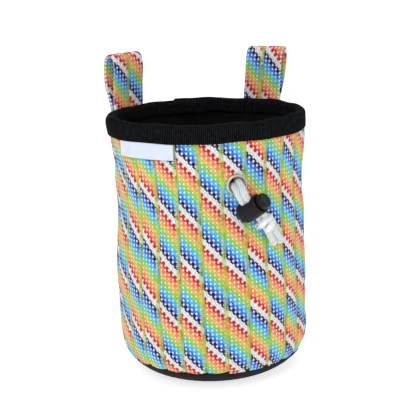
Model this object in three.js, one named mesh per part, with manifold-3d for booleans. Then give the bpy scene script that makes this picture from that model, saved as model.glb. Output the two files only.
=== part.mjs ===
// Climbing chalk bag: a round fabric bag with a stiff bound rim, a fleece lining, a drawcord with a
// spring cord lock at the front and two belt loops at the back.
// Millimetres, +Z up. The origin is on the bag's axis, on the underside of the base.
// The bag's front, with the grommet, looks along -Y. Angles are in degrees round the axis,
// 0 at the front and growing towards +X.

import * as THREE from 'three';
import { mergeVertices } from 'three/addons/utils/BufferGeometryUtils.js';
import Module from 'manifold-3d';

const manifoldLibrary = await Module();
manifoldLibrary.setup();

// Bag
const rimHeight = 168.4;
const shellRadius = 61.6;
const flatBaseRadius = 32.7;
const cornerHeight = 25.1;
const seamHeight = 12.6;
const rimBackDrop = 1.8;
const clearance = 0.3;

// Fabric thicknesses
const shellWall = 1.6;
const baseWall = 1.8;
const liningWall = 1.5;
const tapeWall = 1.1;
const labelWall = 1.0;

// Woven bands of the shell, side by side
const bandCount = 27;
const bandStartAngle = -2.8;
const bandGroove = 0.8;

// Rim binding, a tape folded over the rim
const bindingOutsideDepth = 11.0;
const bindingInsideDepth = 9.0;
const overlapAngle = 177;
const overlapSpan = 24;

// Label under the binding
const labelAngle = -49.2;
const labelWidth = 41.5;
const labelHeight = 9.6;

// Grommet
const grommetAngle = 4.8;
const grommetHeight = 131.8;
const grommetDiameter = 13.0;
const grommetBore = 8.6;
const grommetLip = 1.3;
const grommetTubeWall = 0.7;
const grommetBackFlange = 1.0;
const grommetSheet = 0.6;

// Channel behind the grommet that the drawcord runs in
const channelDepth = 4.0;
const channelHalfHeight = 10.0;
const channelFlatShare = 0.4;

// Drawcord, two strands side by side
const cordDiameter = 3.8;

// Cord lock
const lockDiameter = 12.5;
const lockWall = 1.25;
const lockAboveCord = 6.5;
const lockFloor = 1.0;
const lockCornerRadius = 3.0;
const lockDomeRise = 0.8;
const lockMouthTaper = 0.3;
const lockTurn = 45.8;
const lockRise = 33.6;
const cordSlotClearance = 0.6;
const lockCordSlant = 58.4;
const lockCentre = new THREE.Vector3(12.5, -68.5, 119.0);
const buttonProtrusion = 4.5;
const buttonTravel = 2.2;
const buttonFloor = 0.8;
const buttonEdge = 0.7;
const buttonDish = 0.3;

// Knot
const knotCentre = new THREE.Vector3(21.5, -65.1, 108.9);
const knotAcross = 11.0;
const knotAlong = 8.0;
const knotDeep = 8.6;

// Belt loops
const loops = {
  left: { angle: -139, sidewaysLean: 0.06 },
  right: { angle: 134, sidewaysLean: 0.1 },
};
const loopFaceAngle = 145;
const loopWidth = 25.4;
const loopWall = 2.2;
const loopRise = 34.0;
const loopTuck = 8.5;
const loopGap = 7.0;
const loopRimGap = 1.3;
const loopHalfwaySpread = 0.93;
const loopStandOff = 1.05;
const loopGroove = 0.4;
const loopEdge = 0.9;

// The drawcord's route, points chosen by hand: two strands from the channel through the grommet and
// the cord lock to the knot, then two cut ends
const cordRoutes = {
  drawcord_left: [
    [3.2, -56.0, 130.7], [3.5, -60.2, 130.4], [3.9, -63.9, 129.2], [4.6, -66.3, 126.7], [6.0, -67.5, 123.7],
    [8.1, -67.5, 121.1], [11.3, -67.3, 117.9], [14.4, -67.1, 114.7], [16.2, -66.4, 112.6], [17.1, -65.8, 111.5],
  ],
  drawcord_right: [
    [6.2, -55.9, 133.5], [6.6, -60.1, 133.1], [6.9, -64.5, 131.9], [7.5, -67.6, 129.4], [8.6, -69.4, 126.2],
    [10.6, -69.9, 123.3], [13.7, -69.7, 120.1], [16.9, -69.5, 116.9], [18.7, -68.8, 114.9], [20.4, -67.4, 112.7],
  ],
  drawcord_tail_left: [
    [21.8, -63.5, 104.3], [24.7, -60.1, 99.2], [27.9, -55.9, 92.6],
  ],
  drawcord_tail_right: [
    [24.8, -62.6, 106.3], [28.7, -58.1, 100.0], [33.6, -52.5, 93.3],
  ],
};

// The side wall's radius as shares of shellRadius, at heights as shares of rimHeight
const wallProfile = {
  foot: { height: 0.149, radius: 0.984 },
  belly: { height: 0.30, radius: 1.016 },
  middle: { height: 0.50, radius: 0.978 },
  waist: { height: 0.75, radius: 0.961 },
  shoulder: { height: 0.935, radius: 1.0 },
  rim: { height: 1.0, radius: 1.0 },
};

// Numbers of facets
const shellFacetsPerBand = 3;
const linerFacets = 48;
const baseFacets = 54;
const bindingFacets = 72;
const roundFacets = 24;
const cordSides = 8;

// Sizes worked out from the ones above
const bindingRadius = shellRadius + clearance + tapeWall;
const liningInset = shellWall + bandGroove + clearance;
const rimInsideRadius = shellRadius - shellWall - clearance - liningWall - clearance - tapeWall;
const rimFoldRadius = (bindingRadius - rimInsideRadius) / 2;
const sheetTop = rimHeight - rimFoldRadius - clearance;
const channelTop = grommetHeight + channelHalfHeight;
const bandsTop = rimHeight - bindingOutsideDepth - rimBackDrop;
const cornerWidth = shellRadius * wallProfile.foot.radius - flatBaseRadius;
const strandOffset = (cordDiameter + clearance) / 2;
const cordSlotWidth = cordDiameter + 2 * cordSlotClearance;
const cordSlotLength = 2 * strandOffset + cordSlotWidth;
const buttonBottom = -cordSlotLength / 2 - buttonFloor;
const lockBelowCord = buttonTravel + clearance + lockFloor + lockDomeRise - buttonBottom;
const lockBoreRadius = lockDiameter / 2 - lockWall;
const buttonRadius = lockBoreRadius - clearance;

const wallCurve = new THREE.CubicInterpolant(
  Object.values(wallProfile).map((row) => row.height * rimHeight),
  Object.values(wallProfile).map((row) => row.radius * shellRadius),
  1,
  [],
);

// Heights at which the walls of the shell and the lining have corners
const wallHeights = [
  wallProfile.belly.height * rimHeight,
  wallProfile.middle.height * rimHeight,
  grommetHeight - channelHalfHeight,
];

function wallRadiusAt(height) {
  return wallCurve.evaluate(THREE.MathUtils.clamp(height, cornerHeight, rimHeight))[0];
}

function around(angle, radius, height) {
  const turn = THREE.MathUtils.degToRad(angle);
  return new THREE.Vector3(radius * Math.sin(turn), -radius * Math.cos(turn), height);
}

// The rim dips a little towards the back
function rimDropAt(angle) {
  return rimBackDrop * (1 - Math.cos(THREE.MathUtils.degToRad(angle))) / 2;
}

// One closed skin with merged corners, no flat triangles and its faces pointing out
function closedSkin(geometry) {
  const bare = geometry.clone();
  bare.deleteAttribute('normal');
  bare.deleteAttribute('uv');
  const merged = mergeVertices(bare, 1e-4);
  const corners = merged.index.array;
  const kept = [];
  const [a, b, c] = [new THREE.Vector3(), new THREE.Vector3(), new THREE.Vector3()];
  let volume = 0;
  for (let i = 0; i < corners.length; i += 3) {
    const [p, q, r] = [corners[i], corners[i + 1], corners[i + 2]];
    if (p === q || q === r || r === p) continue;
    kept.push(p, q, r);
    a.fromBufferAttribute(merged.attributes.position, p);
    b.fromBufferAttribute(merged.attributes.position, q);
    c.fromBufferAttribute(merged.attributes.position, r);
    volume += a.dot(b.cross(c));
  }
  if (volume < 0) kept.reverse();
  merged.setIndex(kept);
  merged.computeVertexNormals();
  return merged;
}

function toManifold(geometry) {
  const skin = closedSkin(geometry);
  return new manifoldLibrary.Manifold(new manifoldLibrary.Mesh({
    numProp: 3,
    vertProperties: new Float32Array(skin.attributes.position.array),
    triVerts: new Uint32Array(skin.index.array),
  }));
}

function fromManifold(solid) {
  const mesh = solid.getMesh();
  const geometry = new THREE.BufferGeometry();
  geometry.setAttribute('position', new THREE.BufferAttribute(mesh.vertProperties, 3));
  geometry.setIndex(new THREE.BufferAttribute(mesh.triVerts, 1));
  geometry.computeVertexNormals();
  return geometry;
}

function cut(geometry, tool) {
  return fromManifold(toManifold(geometry).subtract(toManifold(tool)));
}

// Joins outlines with equal numbers of corners into one skin, round and back to the first outline
// or with an end face on the first and the last
function loftedSkin(outlines, goesRound) {
  const corners = outlines[0].length;
  const points = outlines.flat();
  const faces = [];
  const strips = goesRound ? outlines.length : outlines.length - 1;
  for (let i = 0; i < strips; i += 1) {
    const here = i * corners;
    const next = ((i + 1) % outlines.length) * corners;
    for (let j = 0; j < corners; j += 1) {
      const k = (j + 1) % corners;
      faces.push(here + j, here + k, next + k, here + j, next + k, next + j);
    }
  }
  if (!goesRound) {
    for (const [start, isFirst] of [[0, true], [(outlines.length - 1) * corners, false]]) {
      const middle = points.length;
      const sum = new THREE.Vector3();
      for (let j = 0; j < corners; j += 1) sum.add(points[start + j]);
      points.push(sum.divideScalar(corners));
      for (let j = 0; j < corners; j += 1) {
        const k = (j + 1) % corners;
        if (isFirst) faces.push(middle, start + k, start + j);
        else faces.push(middle, start + j, start + k);
      }
    }
  }
  const geometry = new THREE.BufferGeometry().setFromPoints(points);
  geometry.setIndex(faces);
  return closedSkin(geometry);
}

// A profile of [radius, height] corners turned round +Y, or round +Z
function turnedOnY(profile, facets) {
  return closedSkin(new THREE.LatheGeometry(profile.map(([r, h]) => new THREE.Vector2(r, h)), facets));
}

function turnedOnZ(profile, facets) {
  return turnedOnY(profile, facets).rotateX(Math.PI / 2);
}

// The bottom corner's arc between two heights on the bag's outside, moved inwards by inset
function cornerArc(inset, fromHeight, toHeight, steps) {
  const points = [];
  for (let i = 0; i <= steps; i += 1) {
    const height = THREE.MathUtils.lerp(fromHeight, toHeight, 1 - Math.cos(Math.PI / 2 * i / steps));
    const turn = Math.asin(1 - height / cornerHeight);
    points.push([
      flatBaseRadius + (cornerWidth - inset) * Math.cos(turn),
      cornerHeight - (cornerHeight - inset) * Math.sin(turn),
    ]);
  }
  return points;
}

// The bands lie flat where the binding presses on them: 1 below the channel's top, 0 at the binding
function grooveShareAt(height) {
  return THREE.MathUtils.clamp((bandsTop - height) / (bandsTop - channelTop), 0, 1);
}

// The depth of the groove between two bands, flattened round the grommet
function grooveAt(angle, height) {
  const share = THREE.MathUtils.euclideanModulo((angle - bandStartAngle) * bandCount / 360, 1);
  const depth = bandGroove * grooveShareAt(height) * Math.abs(2 * share - 1) ** 3;
  const sideways = THREE.MathUtils.degToRad(angle - grommetAngle) * shellRadius;
  const away = Math.hypot(sideways, height - grommetHeight);
  return depth * THREE.MathUtils.smoothstep(away, grommetDiameter / 2, grommetDiameter);
}

function shellSide(inset) {
  const points = cornerArc(inset, seamHeight, cornerHeight, 2);
  for (const height of [...wallHeights, channelTop, bandsTop, sheetTop]) {
    points.push([wallRadiusAt(height) - inset, height]);
  }
  return points;
}

function shellGeometry() {
  const outside = shellSide(0);
  const inside = shellSide(shellWall).reverse();
  const facets = bandCount * shellFacetsPerBand;
  const outlines = [];
  for (let i = 0; i < facets; i += 1) {
    const angle = bandStartAngle + i * 360 / facets - 180;
    const drop = rimDropAt(angle);
    outlines.push([...outside, ...inside].map(([radius, height]) => around(
      angle,
      radius - grooveAt(angle, height),
      height - drop * (height - seamHeight) / (sheetTop - seamHeight),
    )));
  }
  const wall = loftedSkin(outlines, true);
  const holeRadius = grommetBore / 2 + grommetTubeWall + clearance;
  const hole = new THREE.CylinderGeometry(holeRadius, holeRadius, grommetDiameter, roundFacets);
  return cut(wall, hole.rotateX(Math.PI / 2).applyMatrix4(grommetFrame()));
}

function baseGeometry() {
  const top = seamHeight - clearance;
  const outside = cornerArc(0, 0, top, 4);
  const inside = cornerArc(baseWall, 0, top, 4).reverse();
  return turnedOnZ([[0, 0], ...outside, ...inside, [0, baseWall]], baseFacets);
}

// How far the lining steps in to leave the drawcord its channel
function channelAt(height) {
  const away = Math.abs(height - grommetHeight);
  const flat = channelHalfHeight * channelFlatShare;
  return channelDepth * (1 - THREE.MathUtils.smoothstep(away, flat, channelHalfHeight));
}

function liningSide(inset) {
  const points = cornerArc(inset, 0, cornerHeight, 3);
  const heights = [
    ...wallHeights,
    grommetHeight - channelHalfHeight * channelFlatShare,
    grommetHeight + channelHalfHeight * channelFlatShare,
    channelTop,
    bandsTop,
    sheetTop - rimBackDrop,
  ];
  for (const height of heights) {
    const pressed = bandGroove * (1 - grooveShareAt(height));
    points.push([wallRadiusAt(height) - inset + pressed - channelAt(height), height]);
  }
  return points;
}

function liningGeometry() {
  const insetBelow = Math.max(baseWall + clearance, liningInset);
  const outside = liningSide(insetBelow);
  const inside = liningSide(insetBelow + liningWall).reverse();
  const floor = insetBelow;
  return turnedOnZ([[0, floor], ...outside, ...inside, [0, floor + liningWall]], linerFacets);
}

// The tape's section: down the outside, over the rim and down the inside
function bindingSection(angle, extra) {
  const outer = bindingRadius + extra;
  const inner = rimInsideRadius;
  const top = rimHeight - rimFoldRadius;
  const middle = (bindingRadius + rimInsideRadius) / 2;
  const foldSteps = 4;
  const corners = [[outer, rimHeight - bindingOutsideDepth]];
  for (let i = 0; i <= foldSteps; i += 1) {
    const turn = Math.PI * i / foldSteps;
    const stretch = Math.cos(turn) > 0 ? rimFoldRadius + extra * Math.cos(turn) : rimFoldRadius;
    corners.push([middle + stretch * Math.cos(turn), top + (rimFoldRadius + extra) * Math.sin(turn)]);
  }
  corners.push([inner, rimHeight - bindingInsideDepth]);
  corners.push([inner + tapeWall, rimHeight - bindingInsideDepth]);
  for (let i = foldSteps; i >= 0; i -= 1) {
    const turn = Math.PI * i / foldSteps;
    const radius = rimFoldRadius - tapeWall;
    corners.push([middle + radius * Math.cos(turn), top + radius * Math.sin(turn)]);
  }
  corners.push([bindingRadius - tapeWall, rimHeight - bindingOutsideDepth]);
  return corners.map(([radius, height]) => around(angle, radius, height - rimDropAt(angle)));
}

function bindingGeometry() {
  const outlines = [];
  for (let i = 0; i < bindingFacets; i += 1) {
    const angle = i * 360 / bindingFacets;
    const fromOverlap = Math.abs(angle - overlapAngle);
    outlines.push(bindingSection(angle, fromOverlap < overlapSpan / 2 ? tapeWall : 0));
  }
  return loftedSkin(outlines, true);
}

function labelGeometry() {
  const top = rimHeight - bindingOutsideDepth - clearance;
  const span = THREE.MathUtils.radToDeg(labelWidth / shellRadius);
  const steps = 10;
  const outlines = [];
  for (let i = 0; i <= steps; i += 1) {
    const angle = labelAngle + span * (i / steps - 0.5);
    const drop = rimDropAt(angle);
    const outline = [];
    for (const [height, offset] of [
      [top, clearance],
      [top, clearance + labelWall],
      [top - labelHeight, clearance + labelWall],
      [top - labelHeight, clearance],
    ]) {
      outline.push(around(angle, wallRadiusAt(height) + offset, height - drop));
    }
    outlines.push(outline);
  }
  return loftedSkin(outlines, false);
}

// The grommet's own frame: its flange rests on the shell and +Z looks out along the wall's normal
function grommetFrame() {
  const reach = grommetDiameter / 2;
  const above = wallRadiusAt(grommetHeight + reach);
  const below = wallRadiusAt(grommetHeight - reach);
  const lean = Math.atan2(above - below, 2 * reach);
  const seat = Math.max((above + below) / 2, wallRadiusAt(grommetHeight)) + clearance;
  const turn = new THREE.Euler(Math.PI / 2 + lean, 0, THREE.MathUtils.degToRad(grommetAngle), 'ZYX');
  return new THREE.Matrix4().makeRotationFromEuler(turn)
    .setPosition(around(grommetAngle, seat, grommetHeight));
}

// Eyelet along +Z with its front at z above 0: rolled flange, tube through the wall, turned back edge
function grommetGeometry() {
  const bore = grommetBore / 2;
  const rim = grommetDiameter / 2;
  const sagitta = rim ** 2 / (2 * shellRadius);
  const back = -(shellWall + 2 * clearance + sagitta);
  const tube = bore + grommetTubeWall;
  return turnedOnZ([
    [bore, back - grommetSheet],
    [tube + grommetBackFlange, back - grommetSheet],
    [tube + grommetBackFlange, back],
    [tube, back],
    [tube, 0],
    [rim, 0],
    [rim, grommetLip * 0.5],
    [rim - grommetLip * 0.4, grommetLip],
    [bore + grommetLip * 0.4, grommetLip],
    [bore, grommetLip * 0.5],
    [bore, back - grommetSheet],
  ], roundFacets);
}

function cordTube(points) {
  const section = new THREE.Shape(
    new THREE.Path().absarc(0, 0, cordDiameter / 2, 0, 2 * Math.PI).getPoints(cordSides).slice(0, cordSides),
  );
  const route = new THREE.CatmullRomCurve3(points);
  const steps = Math.max(4, Math.ceil(route.getLength() / cordDiameter));
  return closedSkin(new THREE.ExtrudeGeometry(section, { extrudePath: route, steps, bevelEnabled: false }));
}

// The cord lock's own frame: +Y along its button, +Z along the cord that runs through it
function lockFrame() {
  const turn = THREE.MathUtils.degToRad(lockTurn);
  const rise = THREE.MathUtils.degToRad(lockRise);
  const slant = THREE.MathUtils.degToRad(lockCordSlant);
  const axis = new THREE.Vector3(
    Math.cos(rise) * Math.sin(turn),
    -Math.cos(rise) * Math.cos(turn),
    Math.sin(rise),
  );
  const level = new THREE.Vector3(Math.cos(turn), Math.sin(turn), 0);
  const down = level.clone().cross(axis);
  if (down.z > 0) down.negate();
  const along = level.multiplyScalar(Math.cos(slant)).addScaledVector(down, Math.sin(slant));
  const across = axis.clone().cross(along);
  return new THREE.Matrix4().makeBasis(across, axis, along).setPosition(lockCentre);
}

// A slot for the two strands, from one height on the lock's axis to another
function cordSlot(from, to) {
  const radius = cordSlotWidth / 2;
  const outline = new THREE.Shape();
  outline.absarc(0, to - radius, radius, 0, Math.PI);
  outline.absarc(0, from + radius, radius, Math.PI, 2 * Math.PI);
  const length = lockDiameter * 1.5;
  const slot = new THREE.ExtrudeGeometry(outline, { depth: length, bevelEnabled: false, curveSegments: 5 });
  return slot.translate(0, 0, -length / 2);
}

function lockBodyGeometry() {
  const radius = lockDiameter / 2;
  const corner = lockCornerRadius;
  const profile = [[0, -lockBelowCord]];
  for (let i = 0; i <= 3; i += 1) {
    const turn = Math.PI / 2 * (1 - i / 3);
    profile.push([
      radius - corner + corner * Math.cos(turn),
      -lockBelowCord + lockDomeRise + corner - corner * Math.sin(turn),
    ]);
  }
  profile.push([radius, 0]);
  profile.push([radius - lockMouthTaper, lockAboveCord - lockMouthTaper]);
  profile.push([radius - 2 * lockMouthTaper, lockAboveCord]);
  profile.push([lockBoreRadius, lockAboveCord]);
  profile.push([lockBoreRadius, -lockBelowCord + lockDomeRise + corner]);
  profile.push([radius - corner, -lockBelowCord + lockFloor + lockDomeRise]);
  profile.push([0, -lockBelowCord + lockFloor]);
  return cut(turnedOnY(profile, roundFacets), cordSlot(-cordSlotLength / 2, cordSlotLength / 2));
}

function lockButtonGeometry() {
  const top = lockAboveCord + buttonProtrusion;
  const foot = lockDiameter / 2 - lockCornerRadius - clearance;
  const plunger = turnedOnY([
    [0, buttonBottom],
    [foot, buttonBottom],
    [buttonRadius, buttonBottom + lockCornerRadius - lockFloor],
    [buttonRadius, top - buttonEdge],
    [buttonRadius - buttonEdge, top],
    [buttonRadius - 2 * buttonEdge, top - buttonDish],
    [0, top - buttonDish],
  ], roundFacets);
  return cut(plunger, cordSlot(-cordSlotLength / 2, cordSlotLength / 2 + buttonTravel));
}

function knotGeometry() {
  const knot = new THREE.SphereGeometry(0.5, 12, 8);
  knot.scale(knotAlong, knotAcross, knotDeep);
  knot.rotateZ(-Math.PI / 2);
  return closedSkin(knot);
}

// The loop's middle line: outward steps from the binding and heights above the rim
function loopRoute() {
  const seat = clearance + loopWall / 2;
  const stand = seat + loopStandOff;
  const leaves = loopWall + clearance;
  const rimLeaves = loopWall + loopRimGap;
  const reach = (loopGap + loopWall) / 2;
  const low = -bindingOutsideDepth - loopTuck;
  const onShell = shellRadius - bindingRadius + seat;
  const belowBinding = -bindingOutsideDepth - loopWall / 2;
  const step = (belowBinding + low) / 2;
  const bend = loopRise - loopWall / 2 - reach;
  const route = [
    [onShell, low],
    [onShell, step],
    [stand, belowBinding],
    [stand, 0],
    [stand, bend * 0.5],
  ];
  const topSteps = 6;
  for (let i = 0; i <= topSteps; i += 1) {
    const turn = Math.PI * (1 - i / topSteps);
    route.push([stand + reach + reach * Math.cos(turn), bend + reach * Math.sin(turn)]);
  }
  route.push([stand + 2 * reach * loopHalfwaySpread, bend * 0.5]);
  route.push([stand + rimLeaves, 0]);
  route.push([stand + leaves, belowBinding]);
  route.push([onShell + leaves, step]);
  route.push([onShell + leaves, low]);
  return route.map(([outward, height]) => new THREE.Vector2(outward, height));
}

// Section of the folded strap: across its width and through its thickness, a groove along the middle
function strapSection() {
  const half = loopWidth / 2;
  const thick = loopWall / 2;
  const upper = [
    [-half, 0],
    [-half + loopEdge, thick],
    [-loopEdge, thick],
    [0, thick - loopGroove],
    [loopEdge, thick],
    [half - loopEdge, thick],
  ];
  const lower = upper.map(([across, through]) => [-across, -through]);
  return [...upper, ...lower];
}

// A strap point, bent round the bag below the rim and flat, turned towards the back, above it
function strapPoint(loop, across, outward, height) {
  const rim = rimHeight - rimDropAt(loop.angle);
  const turn = loop.angle + THREE.MathUtils.radToDeg(across / bindingRadius);
  const bent = around(turn, bindingRadius + outward, rim + height);
  const pivot = loopWall + clearance;
  const flat = around(loop.angle, bindingRadius + pivot, rim + height);
  const twist = THREE.MathUtils.smoothstep(height, -bindingOutsideDepth, 0);
  const face = THREE.MathUtils.lerp(loop.angle, Math.sign(loop.angle) * loopFaceAngle, twist);
  flat.add(around(face, outward - pivot, 0));
  flat.add(around(face + 90, across - loop.sidewaysLean * Math.max(0, height), 0));
  return bent.lerp(flat, twist);
}

function loopGeometry(loop) {
  const route = loopRoute();
  const section = strapSection();
  const outlines = route.map((point, i) => {
    const before = route[Math.max(0, i - 1)];
    const after = route[Math.min(route.length - 1, i + 1)];
    const along = after.clone().sub(before).normalize();
    return section.map(([across, through]) => strapPoint(
      loop,
      across,
      point.x - along.y * through,
      point.y + along.x * through,
    ));
  });
  return loftedSkin(outlines, false);
}

const materials = {
  stripes: new THREE.MeshStandardMaterial({ color: 0x9fc25a, roughness: 0.9 }),
  blackFabric: new THREE.MeshStandardMaterial({ color: 0x1c1c1e, roughness: 0.95 }),
  fleece: new THREE.MeshStandardMaterial({ color: 0x121213, roughness: 1.0 }),
  tape: new THREE.MeshStandardMaterial({ color: 0x17181a, roughness: 0.85 }),
  label: new THREE.MeshStandardMaterial({ color: 0xdfe4ea, roughness: 0.8 }),
  nickel: new THREE.MeshStandardMaterial({ color: 0xb9b2a8, roughness: 0.35, metalness: 1.0 }),
  cord: new THREE.MeshStandardMaterial({ color: 0xeef0f2, roughness: 0.8 }),
  plastic: new THREE.MeshStandardMaterial({ color: 0x151617, roughness: 0.45 }),
};

const chalkBag = new THREE.Group();

function addPiece(name, geometry, material, parent = chalkBag) {
  const mesh = new THREE.Mesh(geometry, material);
  mesh.name = name;
  parent.add(mesh);
  return mesh;
}

addPiece('shell', shellGeometry(), materials.stripes);
addPiece('base', baseGeometry(), materials.blackFabric);
addPiece('lining', liningGeometry(), materials.fleece);
addPiece('rim_binding', bindingGeometry(), materials.tape);
addPiece('label', labelGeometry(), materials.label);
addPiece('grommet', grommetGeometry(), materials.nickel).applyMatrix4(grommetFrame());

for (const [name, points] of Object.entries(cordRoutes)) {
  addPiece(name, cordTube(points.map((point) => new THREE.Vector3(...point))), materials.cord);
}

const cordLock = new THREE.Group();
cordLock.applyMatrix4(lockFrame());
chalkBag.add(cordLock);
addPiece('cord_lock_body', lockBodyGeometry(), materials.plastic, cordLock);
addPiece('cord_lock_button', lockButtonGeometry(), materials.plastic, cordLock);

const knot = addPiece('cord_knot', knotGeometry(), materials.cord);
knot.quaternion.setFromRotationMatrix(lockFrame());
knot.position.copy(knotCentre);

addPiece('belt_loop_left', loopGeometry(loops.left), materials.stripes);
addPiece('belt_loop_right', loopGeometry(loops.right), materials.stripes);

export default chalkBag;
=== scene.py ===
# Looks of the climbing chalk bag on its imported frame. Sizes here are in millimetres and degrees;
# every mesh is scaled to metres when it is made. Angles run round the bag's axis, 0 at the front
# and growing towards +X, as in the part's source.
import math

import bpy
import numpy as np
from mathutils import Matrix, Vector


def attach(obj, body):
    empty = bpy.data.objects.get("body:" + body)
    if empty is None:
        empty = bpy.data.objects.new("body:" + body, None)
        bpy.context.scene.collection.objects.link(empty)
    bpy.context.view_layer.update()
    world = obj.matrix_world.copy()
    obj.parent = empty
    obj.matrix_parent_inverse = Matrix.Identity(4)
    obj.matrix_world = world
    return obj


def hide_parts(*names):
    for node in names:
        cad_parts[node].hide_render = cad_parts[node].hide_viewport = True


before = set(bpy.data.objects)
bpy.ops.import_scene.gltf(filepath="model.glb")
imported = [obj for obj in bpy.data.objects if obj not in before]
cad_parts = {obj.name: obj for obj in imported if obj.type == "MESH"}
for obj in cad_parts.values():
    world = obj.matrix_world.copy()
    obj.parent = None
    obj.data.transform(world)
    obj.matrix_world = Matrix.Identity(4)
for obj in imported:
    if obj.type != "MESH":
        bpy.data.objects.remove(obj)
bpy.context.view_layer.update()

MM = 0.001

# Bag, as in the part's source
RIM_HEIGHT = 168.4
SHELL_RADIUS = 61.6
FLAT_BASE_RADIUS = 32.7
CORNER_HEIGHT = 25.1
SEAM_HEIGHT = 12.6
RIM_BACK_DROP = 1.8
SHELL_TOP = 165.0
BINDING_RADIUS = 63.0
BINDING_INSIDE_RADIUS = 56.8
BINDING_OUTSIDE_DEPTH = 11.0
BINDING_INSIDE_DEPTH = 9.0
TAPE_WALL = 1.1
TAPE_RIBS = 352
LINING_INSET = 3.6
CHANNEL_DEPTH = 4.0
CHANNEL_HALF_HEIGHT = 10.0

# The side wall's radius at heights
WALL_HEIGHTS = (25.1, 50.5, 84.2, 126.3, 157.5, 168.4)
WALL_RADII = (60.6, 62.6, 60.2, 59.2, 61.6, 61.6)

# Camera, fitted to the photograph's outline
CAMERA_PLACE = (-134.5, -692.1, 276.3)
CAMERA_AIM = (0.0, 0.0, 84.2)
CAMERA_ROLL = 2.01
CAMERA_LENS = 97.2
CAMERA_SHIFT = (-0.0064, 0.0714)

# Woven bands of the striped fabric: start angle, then each band's stripe height and direction.
# The height is where the red stripe meets the band's left edge, in mm; the direction is 1 where
# red comes above orange and -1 where it comes below.
BAND_START = -69.5
BAND_WIDTH = 14.2
STRIPE_ROWS = 12
BANDS = (
    (105.3, -1), (97.8, -1), (87.8, 1), (85.7, 1), (96.1, 1), (82.9, 1), (86.6, -1),
    (76.0, 1), (88.7, -1), (97.5, 1), (88.0, 1), (104.0, -1), (79.0, 1), (92.0, 1),
    (101.0, -1), (83.0, 1), (90.0, 1), (98.0, 1), (86.0, -1), (106.0, 1), (82.0, 1),
    (95.0, -1), (89.0, 1), (77.0, 1), (100.0, 1), (91.0, -1), (107.4, 1),
)
BAND_PITCH_ANGLE = 360 / len(BANDS)
DOT_ACROSS = 2.58
DOT_ALONG = 2.66
DOT_START = 2.0
DOT_REACH = (0.26, 0.32)
FLOAT_REACH = (0.44, 0.52)
CHANNEL_WIDTH = 2.3
CHANNEL_LEFT = 0.5

# How far the cloth of the side wall stands out (or in) at heights on the left and the right
SAG_HEIGHTS = (0, 12, 20, 29, 37, 44, 50, 57, 62, 74, 86, 98, 106, 112, 125, 139, 150, 165)
LEFT_SAG = (0, 0, -0.3, -0.3, -1.1, -1.5, -1.8, -1.3, -0.6, 0.8, 0.7, 0.0, -0.3, -0.4, 0.0, -0.9, -0.5, 0)
RIGHT_SAG = (0, 0, 0.3, 0.2, -1.4, -1.7, -1.8, -1.6, -1.2, -0.5, 0.1, 1.1, 1.5, 1.1, 0.6, 0.3, 0.2, 0)
SAG_ANGLES = (-101, 79)

# Grommet
GROMMET_ANGLE = 4.8
GROMMET_HEIGHT = 131.8
GROMMET_RADIUS = 6.5
GROMMET_BORE = 4.3
GROMMET_LIP = 1.3

# Drawcord: the part's routes of both strands, with the way through the knot between them
CORD_DIAMETER = 3.8
STRAND_LEFT = (
    (3.2, -56.0, 130.7), (3.5, -60.2, 130.4), (3.9, -63.9, 129.2), (4.6, -66.3, 126.7),
    (6.0, -67.5, 123.7), (8.1, -67.5, 121.1), (11.3, -67.3, 117.9), (14.4, -67.1, 114.7),
    (16.2, -66.4, 112.6), (17.1, -65.8, 111.5), (19.4, -64.8, 108.0), (21.8, -63.5, 104.3),
    (24.7, -60.1, 99.2), (27.9, -55.9, 92.6),
)
STRAND_RIGHT = (
    (6.2, -55.9, 133.5), (6.6, -60.1, 133.1), (6.9, -64.5, 131.9), (7.5, -67.6, 129.4),
    (8.6, -69.4, 126.2), (10.6, -69.9, 123.3), (13.7, -69.7, 120.1), (16.9, -69.5, 116.9),
    (18.7, -68.8, 114.9), (20.4, -67.4, 112.7), (22.6, -65.2, 109.6), (24.8, -62.6, 106.3),
    (28.7, -58.1, 100.0), (33.6, -52.5, 93.3),
)

# Cord lock, in its own frame: +Y along the button, +Z along the cord
LOCK_CENTRE = (12.5, -68.5, 119.0)
LOCK_AXIS = (0.59713, -0.58069, 0.55339)
LOCK_CORD = (0.7029, 0.0471, -0.7097)
LOCK_RADIUS = 6.5
LOCK_ABOVE = 6.5
LOCK_BELOW = 10.2
LOCK_BORE = 5.0
LOCK_CORNER = 3.6
LOCK_DOME = 0.8
BUTTON_RADIUS = 4.7
BUTTON_OUT = 4.5
BUTTON_BOTTOM = -5.35
SLOT_WIDTH = 5.0
SLOT_LENGTH = 9.1

# Knot
KNOT_CENTRE = (21.5, -65.1, 108.9)
KNOT_LUMP = (17.0, -63.8, 107.0)
KNOT_LUMP_RADIUS = 2.4
# Its wraps: shift along the cord, tilt in degrees, half width, half height, radius
KNOT_WRAPS = ((-1.6, 12, 3.4, 3.2, 2.3), (2.0, -16, 3.0, 2.7, 2.0))

# Label
LABEL_ANGLE = -49.2
LABEL_WIDTH = 41.5
LABEL_HEIGHT = 9.6

# Belt loops: each one's angle and how far it leans sideways for each mm of height
LOOPS = {"left": (-139, 0.06), "right": (134, 0.1)}
LOOP_FACE_ANGLE = 145
LOOP_WIDTH = 25.4
LOOP_WALL = 2.2
LOOP_RISE = 34.0
LOOP_TUCK = 8.5
LOOP_GAP = 7.0
LOOP_RIM_GAP = 1.3
LOOP_HALFWAY_SPREAD = 0.93
LOOP_STAND_OFF = 1.05
# The stripe height and direction of each strap's two bands
LOOP_STRIPES = {"left": ((48.5, -1), (58.0, 1)), "right": ((24.5, -1), (50.3, -1))}

CLEARANCE = 0.3

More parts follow.
